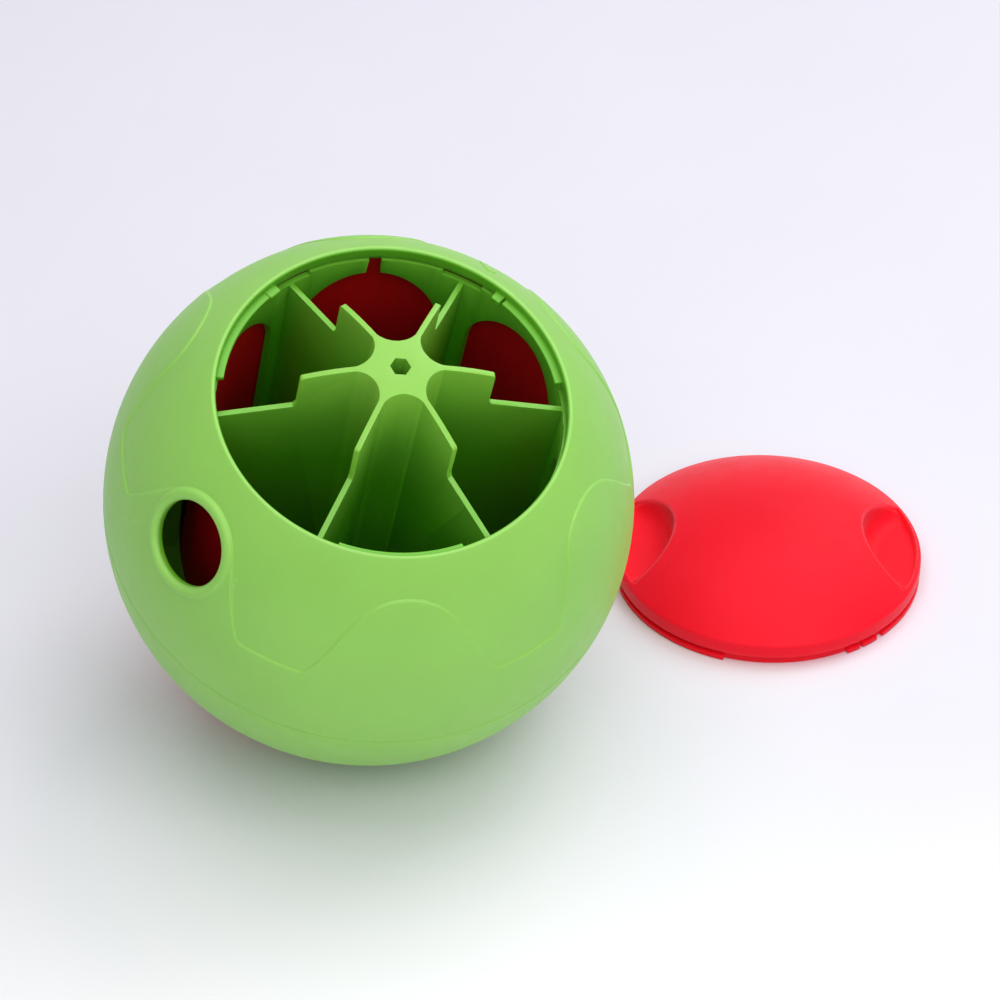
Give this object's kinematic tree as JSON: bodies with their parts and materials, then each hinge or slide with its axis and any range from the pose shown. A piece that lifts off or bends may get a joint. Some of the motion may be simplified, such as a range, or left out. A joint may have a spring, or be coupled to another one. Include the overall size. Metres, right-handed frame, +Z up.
{
  "type": "treat dispensing ball",
  "caption": "Hollow ball that drops pet treats through a side hole as a timed pod wheel turns inside it, with its twist-on lid beside it.",
  "frame": {"origin": "point where the ball meets the floor, below the ball's centre", "axes": "+Z up, +X from the ball towards the side where the lid lies, +Y away from the viewer; the ball's own axis leans 22 degrees towards the viewer and 8 degrees to the lid's side"},
  "size_m": [0.2416, 0.185, 0.1473],
  "materials": {
    "shell_green": "satin moulded ABS, fine grain",
    "wheel_green": "satin moulded plastic",
    "drum_red": "satin moulded plastic",
    "lid_red": "satin moulded plastic, fine grain",
    "cap_red": "satin moulded plastic, fine grain",
    "gear_nylon": "natural moulded nylon",
    "case_black": "fine grain",
    "steel": "zinc-plated",
    "brass": "turned",
    "seal_rubber": "matt",
    "board_green": "lacquered board",
    "cell_sleeve": "plain sleeve"
  },
  "bodies": {
    "ball": {"upper_shell": "shell_green", "lower_shell": "shell_green", "tumble_floor": "shell_green", "drum": "drum_red", "shaft_bush": "brass", "gear_pins": "steel", "motor_can": "steel", "motor_end_bell": "gear_nylon", "motor_screws": "steel", "gearbox_case": "case_black", "gearbox_screws": "steel", "deck_screws": "steel", "seal_ring": "seal_rubber", "base_cap": "cap_red", "base_screws": "steel", "battery_box": "case_black", "battery_cells": "cell_sleeve", "battery_contacts": "steel", "battery_door": "cap_red", "door_screw": "steel", "timer_switch": "case_black", "circuit_board": "board_green", "board_chips": "case_black", "buzzer": "case_black", "board_screws": "steel"},
    "wheel": {"pod_wheel": "wheel_green", "drive_shaft": "steel", "output_gear": "gear_nylon"},
    "idler_two": {"idler_gear_upper": "gear_nylon"},
    "idler_one": {"idler_gear_lower": "gear_nylon"},
    "pinion": {"motor_pinion": "brass", "motor_shaft": "steel"},
    "dial": {"timer_dial": "cap_red"},
    "lid": {"lid": "lid_red"}
  },
  "joints": [
    {"name": "wheel_turn", "type": "hinge", "parent": "ball", "child": "wheel", "pos_m": [0, 0, 0.075], "axis": [0.1444, -0.3739, 0.9162], "continuous": true},
    {"name": "idler_two_turn", "type": "hinge", "parent": "ball", "child": "idler_two", "pos_m": [-0.00538, 0.03617, 0.0499], "axis": [0.1444, -0.3739, 0.9162], "continuous": true},
    {"name": "idler_one_turn", "type": "hinge", "parent": "ball", "child": "idler_one", "pos_m": [-0.02203, 0.03951, 0.05094], "axis": [0.1444, -0.3739, 0.9162], "continuous": true},
    {"name": "motor_turn", "type": "hinge", "parent": "ball", "child": "pinion", "pos_m": [-0.03119, 0.0288, 0.04801], "axis": [0.1444, -0.3739, 0.9162], "continuous": true},
    {"name": "dial_turn", "type": "hinge", "parent": "ball", "child": "dial", "pos_m": [-0.03082, 0.01432, 0.00814], "axis": [-0.411, 0.191, -0.8914], "range_deg": [0, 240]},
    {"name": "lid_lift", "type": "slide", "parent": "ball", "child": "lid", "axis": [0, 0, 1], "range_m": [0, 0.12]}
  ],
  "couplings": [
    {"joint": "idler_two_turn", "follows": "wheel_turn", "ratio": -4},
    {"joint": "idler_one_turn", "follows": "wheel_turn", "ratio": 10},
    {"joint": "motor_turn", "follows": "wheel_turn", "ratio": -30}
  ]
}
